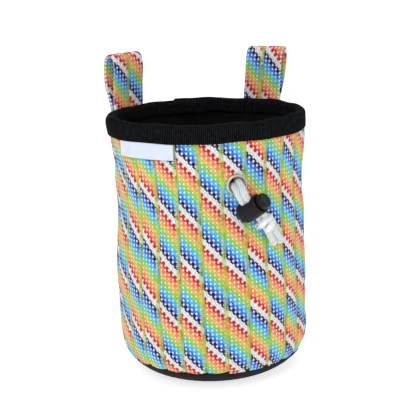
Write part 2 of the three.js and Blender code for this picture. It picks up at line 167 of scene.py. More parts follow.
# Each light's name, place in metres, size in metres and power in watts
LIGHTS = (
    ("key_light", (-0.6, -1.0, 0.9), 0.7, 5.0),
    ("side_light", (0.9, -0.7, 0.7), 0.8, 0.3),
    ("back_light", (0.2, 0.9, 1.0), 1.0, 1.0),
)
LIGHT_AIM = (0, 0, 0.09)
FLOOR_REACH = 6.0
FLOOR_LEVEL = -0.0005


# Camera

def add_to_scene(name, data):
    thing = bpy.data.objects.new(name, data)
    bpy.context.scene.collection.objects.link(thing)
    return thing


def make_camera():
    data = bpy.data.cameras.new("camera")
    data.lens = CAMERA_LENS
    data.sensor_width = 36
    data.shift_x, data.shift_y = CAMERA_SHIFT
    data.clip_start, data.clip_end = 0.01, 20
    camera = add_to_scene("camera", data)
    camera.location = Vector(CAMERA_PLACE) * MM
    look = (Vector(CAMERA_AIM) - Vector(CAMERA_PLACE)).to_track_quat("-Z", "Y")
    roll = Matrix.Rotation(math.radians(-CAMERA_ROLL), 4, "Z").to_quaternion()
    camera.rotation_mode = "QUATERNION"
    camera.rotation_quaternion = look @ roll
    bpy.context.scene.camera = camera


# Mesh helpers

def smoothstep(value, low, high):
    share = np.clip((value - low) / (high - low), 0, 1)
    return share * share * (3 - 2 * share)


def around(angle, radius, height):
    turn = np.radians(angle)
    return np.stack(np.broadcast_arrays(radius * np.sin(turn), -radius * np.cos(turn), height), -1)


def full_turn(count):
    return np.linspace(0, 2 * np.pi, count, endpoint=False)


def rim_drop(angle):
    return RIM_BACK_DROP * (1 - np.cos(np.radians(angle))) / 2


def curve_through(xs, ys, x):
    """A smooth line through listed values."""
    xs, ys = np.array(xs, float), np.array(ys, float)
    slopes = np.gradient(ys, xs)
    i = np.clip(np.searchsorted(xs, x) - 1, 0, len(xs) - 2)
    step = xs[i + 1] - xs[i]
    t = np.clip((x - xs[i]) / step, 0, 1)
    return (
        (2 * t**3 - 3 * t**2 + 1) * ys[i]
        + (t**3 - 2 * t**2 + t) * step * slopes[i]
        + (3 * t**2 - 2 * t**3) * ys[i + 1]
        + (t**3 - t**2) * step * slopes[i + 1]
    )


def wall_radius(height):
    return curve_through(WALL_HEIGHTS, WALL_RADII, np.clip(height, WALL_HEIGHTS[0], RIM_HEIGHT))


def corner_point(height, inset=0.0):
    """Radius of the rounded bottom corner at a height below CORNER_HEIGHT, moved inwards by inset."""
    turn = np.arcsin(np.clip(1 - height / CORNER_HEIGHT, -1, 1))
    width = WALL_RADII[0] - FLAT_BASE_RADIUS - inset
    return FLAT_BASE_RADIUS + width * np.cos(turn), CORNER_HEIGHT - (CORNER_HEIGHT - inset) * np.sin(turn)


def outside_radius(height):
    return np.where(height < CORNER_HEIGHT, corner_point(height)[0], wall_radius(height))


def make_piece(name, points, faces, material, body="bag", smooth=True):
    mesh = bpy.data.meshes.new(name)
    mesh.from_pydata((np.asarray(points) * MM).tolist(), [], [list(map(int, f)) for f in faces])
    mesh.update()
    if smooth:
        mesh.shade_smooth()
    piece = add_to_scene(name, mesh)
    mesh.materials.append(material)
    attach(piece, body)
    return piece


def corner_values(piece, name, values):
    """A vector on every face corner, in the order of the faces' corners."""
    layer = piece.data.attributes.new(name, "FLOAT_VECTOR", "CORNER")
    layer.data.foreach_set("vector", np.asarray(values, np.float32).ravel())


def weave_places(left, right, low, high, width):
    """The place across and along a band at each face's four corners, with the band's width."""
    corners = ((left, low), (right, low), (right, high), (left, high))
    return np.stack([np.stack([across, along, width], -1) for across, along in corners], 1)


def point_values(piece, name, values):
    layer = piece.data.attributes.new(name, "FLOAT", "POINT")
    layer.data.foreach_set("value", np.asarray(values, np.float32).ravel())


def grid_faces(rows, columns, goes_round=False):
    """Quads between the rows of a grid of points; each row may close on itself."""
    wide = columns if goes_round else columns - 1
    i, j = np.meshgrid(np.arange(rows - 1), np.arange(wide), indexing="ij")
    k = (j + 1) % columns
    quads = [i * columns + j, i * columns + k, (i + 1) * columns + k, (i + 1) * columns + j]
    return np.stack(quads, -1).reshape(-1, 4)


def turned(profile, facets):
    """Points and faces of a profile of (radius, height) turned round +Y."""
    profile = np.array(profile, float)
    turn = full_turn(facets)
    radius, height = profile[:, 0, None], profile[:, 1, None]
    points = np.stack(np.broadcast_arrays(radius * np.cos(turn), height, -radius * np.sin(turn)), -1)
    return points.reshape(-1, 3), grid_faces(len(profile), facets, True)


def rounded(corners, radius=0.3, steps=3):
    """The profile with each inner corner rounded off."""
    corners = np.array(corners, float)
    line = [corners[0]]
    for before, here, after in zip(corners[:-2], corners[1:-1], corners[2:]):
        reach_in = min(radius, np.linalg.norm(before - here) * 0.45)
        reach_out = min(radius, np.linalg.norm(after - here) * 0.45)
        start = here + (before - here) / np.linalg.norm(before - here) * reach_in
        end = here + (after - here) / np.linalg.norm(after - here) * reach_out
        for t in np.linspace(0, 1, steps + 1):
            line.append(start * (1 - t) ** 2 + here * 2 * t * (1 - t) + end * t**2)
    line.append(corners[-1])
    return np.array(line)


def placed(points, basis, origin):
    """Local points in a frame of three axes at an origin."""
    return points @ np.array(basis) + np.array(origin)


def route_line(points, step):
    """Evenly spaced points on a smooth line through a given route."""
    points = np.array(points, float)
    spans = np.sqrt(np.linalg.norm(np.diff(points, axis=0), axis=1))
    knots = np.concatenate([[0], np.cumsum(spans)])
    fine = np.linspace(0, knots[-1], 1500)
    line = np.stack([curve_through(knots, points[:, k], fine) for k in range(3)], -1)
    run = np.concatenate([[0], np.cumsum(np.linalg.norm(np.diff(line, axis=0), axis=1))])
    count = max(3, int(round(run[-1] / step)) + 1)
    even = np.linspace(0, run[-1], count)
    return np.stack([np.interp(even, run, line[:, k]) for k in range(3)], -1), even


def tube_rings(line, closed=False):
    """A pair of side axes at each point of a line, carried along without twist."""
    if closed:
        along = np.roll(line, -1, 0) - np.roll(line, 1, 0)
    else:
        along = np.gradient(line, axis=0)
    along /= np.linalg.norm(along, axis=1)[:, None]
    side = np.cross(along[0], (0.3, 0.5, 1.0))
    sides = []
    for direction in along:
        side = side - direction * side.dot(direction)
        side /= np.linalg.norm(side)
        sides.append(side)
    sides = np.array(sides)
    return along, sides, np.cross(along, sides)


def braid_tube(line, run, radius, swell, towards, facets=56, plaits=10, pitch=2.1, depth=0.34):
    """A braided cord's points, and how high each lies on its plait: two families of plaits cross.
    The vectors towards a neighbour are as long as the cord reaches that way, in radii."""
    _, sides, ups = tube_rings(line)
    turn = full_turn(facets)
    s = run[:, None] / pitch * np.pi
    first, second = plaits / 2 * turn + s, plaits / 2 * turn - s
    relief = np.abs(np.cos(first)) ** 0.6 * np.abs(np.cos(second)) ** 0.6
    size = (radius - depth + depth * relief) * swell[:, None]
    spoke = np.cos(turn)[:, None] * sides[:, None] + np.sin(turn)[:, None] * ups[:, None]
    reach = np.linalg.norm(towards, axis=1)
    facing = np.clip(np.einsum("ijk,ik->ij", spoke, towards / reach[:, None]), 0, 1) ** 2
    size = size * (1 + (reach[:, None] - 1) * facing)
    ring = size[..., None] * spoke
    return line[:, None] + ring, relief


# Materials

class Nodes:
    """Short calls for a material's node tree."""

    def __init__(self, name):
        self.material = bpy.data.materials.new(name)
        self.material.use_nodes = True
        self.tree = self.material.node_tree
        self.shader = self.tree.nodes["Principled BSDF"]

    def set(self, name, value):
        self.shader.inputs[name].default_value = value

    def surface(self, roughness, specular, sheen=0.0, sheen_roughness=0.5):
        self.set("Roughness", roughness)
        self.set("Specular IOR Level", specular)
        self.set("Sheen Weight", sheen)
        self.set("Sheen Roughness", sheen_roughness)

    def link(self, value, name):
        self.tree.links.new(value, self.shader.inputs[name])

    def feed(self, socket, value):
        if isinstance(value, bpy.types.NodeSocket):
            self.tree.links.new(value, socket)
        else:
            socket.default_value = value

    def new(self, kind, *values):
        """A shader node with its first inputs fed."""
        node = self.tree.nodes.new("ShaderNode" + kind)
        for socket, value in zip(node.inputs, values):
            self.feed(socket, value)
        return node

    def math(self, operation, *values):
        node = self.new("Math", *values)
        node.operation = operation
        return node.outputs[0]

    def colour_steps(self, value, stops):
        node = self.new("ValToRGB", value)
        node.color_ramp.interpolation = "CONSTANT"
        elements = node.color_ramp.elements
        while len(elements) < len(stops):
            elements.new(0.5)
        for element, (place, colour) in zip(elements, stops):
            element.position = place
        for element, (place, colour) in zip(elements, stops):
            element.color = colour
        return node.outputs[0]

    def smooth(self, value, low, high, start=0.0, end=1.0):
        node = self.new("MapRange", value, low, high, start, end)
        node.interpolation_type = "SMOOTHSTEP"
        return node.outputs[0]

    def mix(self, share, first, second):
        node = self.new("Mix", share)
        node.data_type = "RGBA"
        self.feed(node.inputs[6], first)
        self.feed(node.inputs[7], second)
        return node.outputs[2]

    def noise(self, vector, scale, detail=2.0, stretch=None):
        if stretch is not None:
            node = self.new("VectorMath", vector, stretch)
            node.operation = "MULTIPLY"
            vector = node.outputs[0]
        node = self.new("TexNoise", vector)
        node.inputs["Scale"].default_value = scale
        node.inputs["Detail"].default_value = detail
        return node.outputs["Fac"]

    def place(self):
        """Where the surface is, in millimetres."""
        scale = self.new("VectorMath", self.new("TexCoord").outputs["Object"])
        scale.operation = "SCALE"
        scale.inputs["Scale"].default_value = 1 / MM
        return scale.outputs[0]

    def attribute(self, name, output="Vector"):
        node = self.new("Attribute")
        node.attribute_name = name
        return node.outputs[output]

    def split(self, vector):
        return self.new("SeparateXYZ", vector).outputs

    def from_half(self, value):
        return self.math("ABSOLUTE", self.math("SUBTRACT", value, 0.5))

    def bump(self, height, distance, strength):
        node = self.new("Bump")
        node.inputs["Strength"].default_value = strength
        node.inputs["Distance"].default_value = distance * MM
        self.tree.links.new(height, node.inputs["Height"])
        self.link(node.outputs[0], "Normal")


def colour(red, green, blue):
    """A screen colour of 0 to 255 as the shader's linear values."""
    values = []
    for value in (red, green, blue):
        value /= 255
        values.append(value / 12.92 if value < 0.04045 else ((value + 0.055) / 1.055) ** 2.4)
    return (*values, 1.0)


RED = colour(205, 16, 20)
ORANGE = colour(250, 122, 58)
GOLD = colour(222, 176, 48)
GREEN = colour(122, 202, 56)
CYAN = colour(54, 180, 232)
BLUE = colour(0, 108, 232)
PURPLE = colour(40, 12, 82)
WHITE = colour(220, 225, 222)
# Painted shade: the grey of the white yarn in the gaps between the dots and floats
SHADED_WHITE = colour(172, 176, 176)
LIME = colour(190, 212, 96)
DARK_LIME = colour(150, 186, 58)


def stripe_colour(nodes, row, upper, direction):
    """The rainbow stripe's colour on a slanted row of floats. Eight colours share the twelve rows
    evenly, so every third float is in two halves; upper is 1 on a float's upper right half."""
    halves = nodes.math("ADD", nodes.math("MULTIPLY", row, 2.0), nodes.math("ADD", upper, 0.5))
    halves = nodes.math("MULTIPLY", halves, direction)
    share = nodes.math("FRACT", nodes.math("DIVIDE", nodes.math("ADD", halves, 1.5), 2.0 * STRIPE_ROWS))
    order = (WHITE, RED, ORANGE, GOLD, GREEN, CYAN, BLUE, PURPLE)
    return nodes.colour_steps(share, [(k / 8, order[-k % 8]) for k in range(8)])


def rounded_reach(nodes, x, half_width, y, half_height):
    """How far out of a rounded diamond a place is: 1 on its outline."""
    across = nodes.math("POWER", nodes.math("DIVIDE", nodes.math("ABSOLUTE", x), half_width), 1.5)
    up = nodes.math("POWER", nodes.math("DIVIDE", nodes.math("ABSOLUTE", y), half_height), 1.5)
    return nodes.math("ADD", across, up)


def striped_fabric():
    """Woven bands of slanted stripes with white dots, and plain channels between the bands.
    The attribute weave holds the place across the band and along it; stripe holds the red stripe's
    height, the stripes' direction and how plain the channel is."""
    nodes = Nodes("striped_fabric")
    across, along, width = nodes.split(nodes.attribute("weave"))
    stripe_height, direction, plain = nodes.split(nodes.attribute("stripe"))
    place = nodes.place()

    # Lattice of the weave, with a little unevenness
    wander = nodes.math("MULTIPLY_ADD", nodes.noise(place, 0.2), 0.7, -0.35)
    from_first = nodes.math("ADD", across, nodes.math("SUBTRACT", wander, DOT_START))
    x = nodes.math("DIVIDE", from_first, DOT_ACROSS)
    from_red = nodes.math("SUBTRACT", along, stripe_height)
    y = nodes.math("DIVIDE", nodes.math("ADD", from_red, wander), DOT_ALONG)
    cell_x, cell_y = nodes.math("FLOOR", x), nodes.math("FLOOR", y)
    dx = nodes.math("SUBTRACT", nodes.math("SUBTRACT", x, cell_x), 0.5)
    dy = nodes.math("SUBTRACT", nodes.math("SUBTRACT", y, cell_y), 0.5)
    upper = nodes.math("GREATER_THAN", nodes.math("ADD", dx, dy), 0.0)
    yarn = stripe_colour(nodes, nodes.math("ADD", cell_x, cell_y), upper, direction)

    # Coloured floats fill the lattice's cells, wide above and pointed below; white dots sit on its
    # corners, and between them the white yarn is coloured grey as painted shade, tinted by the stripe
    taper = nodes.math("MULTIPLY_ADD", dy, 0.16, FLOAT_REACH[0])
    float_reach = rounded_reach(nodes, dx, taper, dy, FLOAT_REACH[1])
    to_x = nodes.math("SUBTRACT", x, nodes.math("ROUND", x))
    to_y = nodes.math("SUBTRACT", y, nodes.math("ROUND", y))
    dot_width = nodes.math("MULTIPLY_ADD", to_y, -0.15, DOT_REACH[0])
    dot_reach = rounded_reach(nodes, to_x, dot_width, to_y, DOT_REACH[1])
    in_float = nodes.smooth(float_reach, 0.85, 1.15, 1.0, 0.0)
    in_dot = nodes.smooth(dot_reach, 0.7, 1.3, 1.0, 0.0)
    between = nodes.mix(in_dot, nodes.mix(0.55, SHADED_WHITE, yarn), WHITE)
    cloth = nodes.mix(in_float, between, yarn)

    # Channels between the bands: lime ground with short dashes of the stripe beside them
    ragged = nodes.math("MULTIPLY_ADD", nodes.noise(place, 0.9), 0.9, -0.45)
    from_right = nodes.math("ADD", nodes.math("SUBTRACT", width, across), ragged)
    from_left = nodes.math("ADD", across, ragged)
    in_channel = nodes.math(
        "MAXIMUM",
        nodes.smooth(from_right, CHANNEL_WIDTH - 0.25, CHANNEL_WIDTH + 0.25, 1.0, 0.0),
        nodes.smooth(from_left, CHANNEL_LEFT - 0.2, CHANNEL_LEFT + 0.2, 1.0, 0.0),
    )
    side = nodes.math("MINIMUM", across, nodes.math("SUBTRACT", width, across))
    pick = nodes.math("FRACT", nodes.math("DIVIDE", along, DOT_ALONG / 2))
    stitch = nodes.math("FRACT", nodes.math("DIVIDE", across, DOT_ACROSS / 2))
    on_pick = nodes.smooth(nodes.from_half(pick), 0.2, 0.3, 1.0, 0.0)
    dashes = nodes.math("MULTIPLY", on_pick, nodes.smooth(nodes.from_half(stitch), 0.33, 0.43, 1.0, 0.0))
    dashes = nodes.math("MULTIPLY", dashes, nodes.smooth(nodes.noise(place, 0.6), 0.38, 0.46))
    dashes = nodes.math("MULTIPLY", dashes, nodes.math("SUBTRACT", 1.0, plain))
    lime = nodes.mix(nodes.smooth(nodes.noise(place, 0.35), 0.35, 0.65), LIME, DARK_LIME)
    dotted = nodes.mix(nodes.math("MULTIPLY", in_dot, 0.5), lime, WHITE)
    ground = nodes.mix(in_float, dotted, nodes.mix(0.25, lime, yarn))
    ground = nodes.mix(nodes.math("MULTIPLY", dashes, 0.75), ground, nodes.mix(0.2, yarn, PURPLE))
    cloth = nodes.mix(in_channel, cloth, ground)

    # Painted shade: thin dark lines round the floats and down the channel's fold
    from_edge = nodes.math("ABSOLUTE", nodes.math("SUBTRACT", float_reach, 1.15))
    edge = nodes.smooth(from_edge, 0.0, 0.3, 0.25, 0.0)
    fold = nodes.smooth(side, 0.1, 0.45, 0.55, 0.0)
    fold = nodes.math("MULTIPLY", fold, nodes.smooth(nodes.noise(place, 0.18), 0.45, 0.7))
    cloth = nodes.mix(nodes.math("MAXIMUM", edge, fold), cloth, colour(30, 24, 30))
    tone = nodes.smooth(nodes.noise(place, 0.12, 4.0), 0.3, 0.7, 0.93, 1.04)
    bright = nodes.new("HueSaturation")
    nodes.feed(bright.inputs["Value"], tone)
    nodes.feed(bright.inputs["Color"], cloth)
    nodes.link(bright.outputs[0], "Base Color")

    # Each float and each white dot is a small cushion, with fine threads on it
    dot_dome = nodes.smooth(dot_reach, 0.2, 1.3, 1.0, 0.0)
    dome = nodes.math("MAXIMUM", dot_dome, nodes.smooth(float_reach, 0.2, 1.2, 0.9, 0.0))
    dome = nodes.math("MULTIPLY", dome, nodes.math("SUBTRACT", 1.0, in_channel))
    flat_row = nodes.smooth(nodes.from_half(pick), 0.2, 0.5, 0.6, 0.2)
    height = nodes.math("ADD", dome, nodes.math("MULTIPLY", flat_row, in_channel))
    height = nodes.math("MULTIPLY_ADD", nodes.noise(place, 4.5, 3.0), 0.18, height)
    nodes.bump(height, 0.4, 0.7)
    nodes.surface(0.86, 0.2, 0.08)
    return nodes.material


def plain_cloth(name, dark, light, thread, depth, roughness=0.95, sheen=0.03, specular=0.08):
    """Plain woven or napped cloth: small threads, soft patches and a sheen."""
    nodes = Nodes(name)
    place = nodes.place()
    fine = nodes.noise(place, thread, 4.0)
    patch = nodes.noise(place, 0.08, 3.0)
    both = nodes.math("MULTIPLY_ADD", fine, 0.6, nodes.math("MULTIPLY", patch, 0.4))
    nodes.link(nodes.mix(nodes.smooth(both, 0.35, 0.65), dark, light), "Base Color")
    nodes.bump(nodes.math("MULTIPLY_ADD", patch, 0.5, fine), depth, 0.8)
    nodes.surface(roughness, specular, sheen, 0.6)
    return nodes.material


def ribbed_tape():
    """Black webbing: painted highlight on the rib crests, patchy, and fine threads across them."""
    nodes = Nodes("black_tape")
    place = nodes.place()
    x, y, z = nodes.split(place)
    turn = nodes.math("ARCTAN2", x, nodes.math("MULTIPLY", y, -1.0))
    rib = nodes.math("COSINE", nodes.math("MULTIPLY", turn, float(TAPE_RIBS)))
    threads = nodes.math("MULTIPLY_ADD", nodes.math("SINE", nodes.math("MULTIPLY", z, 7.5)), 0.5, 0.5)
    patchiness = nodes.noise(place, 0.5, 4.0)
    # Painted highlight and shade: the rib crests are coloured lighter and the grooves near black, in
    # uneven patches
    both = nodes.math("MULTIPLY", nodes.smooth(rib, -0.1, 0.95), nodes.smooth(patchiness, 0.3, 0.65, 0.35, 1.0))
    both = nodes.math("MULTIPLY", both, nodes.math("MULTIPLY_ADD", threads, 0.5, 0.5))
    nodes.link(nodes.mix(both, colour(3, 3, 4), colour(44, 46, 49)), "Base Color")
    ridges = nodes.math("MULTIPLY_ADD", rib, 0.5, patchiness)
    nodes.bump(nodes.math("MULTIPLY_ADD", threads, 0.35, ridges), 0.2, 0.7)
    nodes.surface(0.7, 0.03)
    return nodes.material


def label_cloth():
    """Bare satin tag: very fine threads both ways, a little uneven."""
    nodes = Nodes("label_cloth")
    place = nodes.place()
    x, y, z = nodes.split(place)
    rows = nodes.math("SINE", nodes.math("MULTIPLY", z, 13.0))
    lines = nodes.math("SINE", nodes.math("MULTIPLY", nodes.math("ADD", x, y), 11.0))
    weave = nodes.math("MULTIPLY_ADD", rows, 0.3, nodes.math("MULTIPLY_ADD", lines, 0.2, 0.5))
    patch = nodes.noise(place, 0.15, 3.0)
    nodes.link(nodes.mix(patch, colour(196, 205, 224), colour(218, 225, 238)), "Base Color")
    nodes.bump(weave, 0.06, 0.7)
    nodes.surface(0.6, 0.35, 0.2)
    return nodes.material


def brushed_nickel():
    nodes = Nodes("nickel")
    place = nodes.place()
    rub = nodes.noise(place, 1.6, 5.0, stretch=(1.0, 1.0, 4.0))
    nodes.link(nodes.mix(rub, colour(176, 166, 150), colour(226, 219, 206)), "Base Color")
    nodes.link(nodes.smooth(rub, 0.3, 0.7, 0.24, 0.42), "Roughness")
    nodes.bump(rub, 0.02, 0.5)
    nodes.set("Metallic", 1.0)
    return nodes.material


def braided_cord():
    """White braided cord: the plaits are in the mesh, and the yarns' fine threads come here."""
    nodes = Nodes("white_cord")
    place = nodes.place()
    fine = nodes.noise(place, 3.2, 4.0)
    soft = nodes.noise(place, 0.5, 2.0)
    both = nodes.math("MULTIPLY_ADD", fine, 0.5, nodes.math("MULTIPLY", soft, 0.5))
    yarn = nodes.mix(nodes.smooth(both, 0.3, 0.7), colour(208, 214, 216), colour(234, 239, 240))
    # Painted shade: where the plait's relief is low, in the grooves, the yarn is coloured a darker grey
    relief = nodes.attribute("relief", "Fac")
    nodes.link(nodes.mix(nodes.smooth(relief, 0.1, 0.55), colour(128, 138, 146), yarn), "Base Color")
    nodes.bump(fine, 0.12, 0.8)
    nodes.surface(0.7, 0.3, 0.3)
    nodes.set("Subsurface Weight", 0.08)
    nodes.set("Subsurface Scale", 0.002)
    return nodes.material


def satin_plastic():
    """Black moulded plastic with a fine grain and a few scuffs."""
    nodes = Nodes("black_plastic")
    place = nodes.place()
    grain = nodes.noise(place, 5.0, 3.0)
    scuff = nodes.noise(place, 0.9, 5.0, stretch=(1.0, 0.6, 2.2))
    nodes.link(nodes.mix(nodes.smooth(scuff, 0.5, 0.75), colour(3, 3, 4), colour(9, 9, 10)), "Base Color")
    nodes.link(nodes.smooth(scuff, 0.3, 0.7, 0.34, 0.42), "Roughness")
    nodes.bump(grain, 0.02, 0.6)
    nodes.set("Specular IOR Level", 0.22)
    return nodes.material


# Pieces

def make_shell(material):
    """The side wall: fluted bands with a narrow recessed channel between neighbours."""
    marks = np.array([0, 0.3, 0.7, 1.2, 2.4, 4.0, 5.8, 7.6, 9.3, 10.5, 11.4, 12.3, 13.2, 13.8])
    count = len(BANDS)
    shares = np.concatenate([marks / BAND_WIDTH + k for k in range(count)])
    angles = BAND_START + BAND_PITCH_ANGLE * shares
    turns = np.linspace(math.asin(1 - (SEAM_HEIGHT - 0.9) / CORNER_HEIGHT), 0, 16)[:-1]
    low = CORNER_HEIGHT * (1 - np.sin(turns))
    heights = np.concatenate([low, np.linspace(CORNER_HEIGHT, SHELL_TOP, 112)])
    radii = outside_radius(heights)
    run = np.concatenate([[0], np.cumsum(np.hypot(np.diff(radii), np.diff(heights)))])
    along = run - run[len(low)] + CORNER_HEIGHT

    place = np.tile(marks, count)
    edge = np.minimum(place, BAND_WIDTH - place)
    crown = 0.3 * np.sin(np.pi * place / BAND_WIDTH)
    sunken = smoothstep(place, BAND_WIDTH - CHANNEL_WIDTH - 0.9, BAND_WIDTH - CHANNEL_WIDTH + 0.6)
    recess = 0.4 * (sunken + (1 - smoothstep(place, 0.2, 1.0))) + 0.45 * np.exp(-(edge / 0.4) ** 2)
    relief = crown - recess
    flat = 1 - smoothstep(heights, 146, 158) * 0.7
    angle, height = angles[None, :], heights[:, None]
    wave = 0.22 * np.sin(np.radians(angle * 5) + height / 11)
    wave = wave + 0.18 * np.sin(np.radians(angle * 9) - height / 17)
    wave = wave * smoothstep(height, 14, 40) * (1 - smoothstep(height, 145, 156))
    for sag, towards in zip((LEFT_SAG, RIGHT_SAG), SAG_ANGLES):
        share = np.clip(np.cos(np.radians(angle - towards)), 0, 1) ** 2
        wave = wave + curve_through(SAG_HEIGHTS, sag, height) * share
    away = np.hypot(np.radians(angle - GROMMET_ANGLE) * SHELL_RADIUS, height - GROMMET_HEIGHT)
    near = smoothstep(away, GROMMET_RADIUS, 2 * GROMMET_RADIUS)
    radius = radii[:, None] + (relief[None, :] * flat[:, None] + wave) * near
    drop = rim_drop(angle) * (height - SEAM_HEIGHT) / (SHELL_TOP - SEAM_HEIGHT)
    points = around(angle, radius, height - drop)
    columns = len(angles)
    faces = grid_faces(len(heights), columns, True)

    j = faces[:, 0] % columns
    band = j // len(marks)
    left, right = marks[j % len(marks)], np.append(marks, BAND_WIDTH)[j % len(marks) + 1]
    low_row, high_row = along[faces[:, 0] // columns], along[faces[:, 2] // columns]
    width = np.full(len(faces), BAND_WIDTH)
    weave = weave_places(left, right, low_row, high_row, width)
    table = np.array(BANDS)[band]
    patch_at = (band == 1) & (low_row > 95) & (low_row < 121) & (left < 7)
    patch_at |= (band == 0) & (low_row > 95) & (low_row < 121) & (left > 7)
    stripe = np.stack([table[:, 0], table[:, 1], patch_at.astype(float)], -1)[:, None].repeat(4, 1)

    centre = around(angles, 1.0, 0)[faces[:, 0] % columns]
    middle = points.reshape(-1, 3)[faces].mean(1)
    grommet = around(GROMMET_ANGLE, outside_radius(GROMMET_HEIGHT), GROMMET_HEIGHT)
    offset = middle - grommet
    keep = (np.linalg.norm(offset, axis=1) >= GROMMET_BORE + 0.6) | (centre[:, 1] >= 0)
    piece = make_piece("bag_shell", points.reshape(-1, 3), faces[keep], material)
    corner_values(piece, "weave", weave[keep])
    corner_values(piece, "stripe", stripe[keep])
    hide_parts("shell")
    return piece


def make_base(material):
    """The black base dish; its seam edge waves a little with the bands."""
    angles = np.linspace(0, 360, 324, endpoint=False)
    edge = 0.35 * np.cos(np.radians((angles - BAND_START) * len(BANDS)))
    edge = edge + 0.5 * np.sin(np.radians(angles * 4 + 40))
    turns = np.linspace(np.pi / 2, math.asin(1 - SEAM_HEIGHT / CORNER_HEIGHT), 22)
    rows = [around(angles, radius, 0.02 * (FLAT_BASE_RADIUS - radius) / FLAT_BASE_RADIUS)
            for radius in (0.3, 6, 12, 18, 24, 29)]
    width = WALL_RADII[0] - FLAT_BASE_RADIUS
    for k, turn in enumerate(turns):
        share = k / (len(turns) - 1)
        lift = edge * smoothstep(share, 0.6, 1.0)
        radius = FLAT_BASE_RADIUS + width * math.cos(turn) + 0.35 * share
        pucker = 0.12 * share * np.cos(np.radians(angles * 54))
        rows.append(around(angles, radius + pucker, CORNER_HEIGHT * (1 - math.sin(turn)) + lift))
    top = rows[-1]
    inwards = -top * [1, 1, 0] / np.linalg.norm(top[:, :2], axis=1)[:, None]
    rows.append(top + inwards * 0.35 + [0, 0, 0.3])
    rows.append(top + inwards * 1.2 + [0, 0, 0.1])
    rows.append(top + inwards * 2.0 + [0, 0, -2.0])
    points = np.concatenate(rows)
    faces = grid_faces(len(rows), len(angles), True)
    centre = list(range(len(angles)))[::-1]
    piece = make_piece("bag_base", points, faces.tolist() + [centre], material)
    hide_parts("base")
    return piece


def make_lining(material):
    """The fleece cup inside: it steps in for the drawcord's channel and puckers a little."""
    angles = np.linspace(0, 360, 216, endpoint=False)
    low = CORNER_HEIGHT * (1 - np.sin(np.linspace(np.pi / 2, 0, 12)))
    heights = np.concatenate([low[:-1], np.linspace(CORNER_HEIGHT, SHELL_TOP - 2, 60)])
    rows = []
    for inset in (LINING_INSET + 1.5, LINING_INSET):
        side = []
        for height in heights:
            if height < CORNER_HEIGHT:
                radius, level = corner_point(height, inset)
            else:
                away = abs(height - GROMMET_HEIGHT)
                step = CHANNEL_DEPTH * (1 - smoothstep(away, 4.0, CHANNEL_HALF_HEIGHT))
                radius, level = wall_radius(height) - inset - step, height
            fold = 0.5 * np.sin(np.radians(angles * 7) + height / 9) * np.sin(np.radians(angles * 3))
            fold = fold + 0.25 * np.sin(np.radians(angles * 31) + height / 14)
            covered = smoothstep(height, 148, 156)
            fold = (fold * smoothstep(height, 15, 50) - 0.3) * (1 - covered)
            radius = radius + (inset - LINING_INSET) * 0.9 * covered
            side.append(around(angles, radius + fold, level - rim_drop(angles) * level / SHELL_TOP))
        rows.append(side)
    inside, outside = rows
    top, bottom = around(angles, 0.3, LINING_INSET + 1.5), around(angles, 0.3, LINING_INSET)
    grid = [top] + inside + outside[::-1] + [bottom]
    points = np.concatenate(grid)
    faces = grid_faces(len(grid), len(angles), True)[:, ::-1]
    last = len(points) - len(angles)
    caps = [list(range(len(angles))), list(range(last, len(points)))[::-1]]
    piece = make_piece("bag_lining", points, faces.tolist() + caps, material)
    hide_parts("lining")
    return piece


def make_binding(material):
    """Ribbed tape folded over the rim, with its overlapped end as a low step at the back."""
    columns = 4 * TAPE_RIBS
    angles = np.linspace(0, 360, columns, endpoint=False)
    rib = 0.16 * np.tile([1.0, 0.2, -1.0, 0.2], TAPE_RIBS)
    fold = (BINDING_RADIUS - BINDING_INSIDE_RADIUS) / 2
    middle = (BINDING_RADIUS + BINDING_INSIDE_RADIUS) / 2
    top = RIM_HEIGHT - fold
    low_edge = 0.25 * np.sin(np.radians(angles * 6 + 20)) + 0.18 * np.sin(np.radians(angles * 13))
    high_edge = 0.28 * np.sin(np.radians(angles * 9 + 70)) + 0.2 * np.sin(np.radians(angles * 16))
    flare = 0.6 * np.exp(-((angles - 262) / 26) ** 2) - 0.7 * np.exp(-((angles - 80) / 32) ** 2)
    tuck = 1.2 * np.exp(-((angles - 262) / 26) ** 2)
    layer = TAPE_WALL * smoothstep(angles, 160, 172) * (1 - smoothstep(angles, 189.0, 190.2))

    section = []
    for height in np.linspace(RIM_HEIGHT - BINDING_OUTSIDE_DEPTH, top, 9):
        section.append((BINDING_RADIUS, height, 1.0, 0.0))
    for turn in np.linspace(0, np.pi, 13)[1:]:
        out, up = math.cos(turn), math.sin(turn)
        section.append((middle + fold * out, top + fold * up, out, up))
    for height in np.linspace(top, RIM_HEIGHT - BINDING_INSIDE_DEPTH, 5)[1:]:
        section.append((BINDING_INSIDE_RADIUS, height, -1.0, 0.0))
    section.append((BINDING_INSIDE_RADIUS + TAPE_WALL, RIM_HEIGHT - BINDING_INSIDE_DEPTH, 0.0, 0.0))
    section.append((BINDING_RADIUS - TAPE_WALL, RIM_HEIGHT - BINDING_OUTSIDE_DEPTH, 0.0, 0.0))

    foot = RIM_HEIGHT - BINDING_OUTSIDE_DEPTH
    rows = []
    for radius, height, out, up in section:
        lower = smoothstep(top - height, 0.0, BINDING_OUTSIDE_DEPTH) if radius > middle else 0.0
        extra = rib + layer * (1.0 if radius > middle - 1 else 0.3)
        share = min(1, max(0, (height - foot) / (top - foot)))
        puff = 0.1 * math.sin(math.pi * share) if out > 0.9 else 0.0
        outside = 1.0 if radius > middle else 0.0
        rows.append(around(
            angles,
            radius + (extra + puff) * out + outside * (flare - tuck * lower),
            height + extra * up - rim_drop(angles) + low_edge * lower + high_edge * (1 - lower),
        ))
    rows.append(rows[0])
    points = np.concatenate(rows[:-1])
    faces = grid_faces(len(rows), columns, True) % len(points)
    piece = make_piece("rim_tape", points, faces, material)
    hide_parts("rim_binding")
    return piece


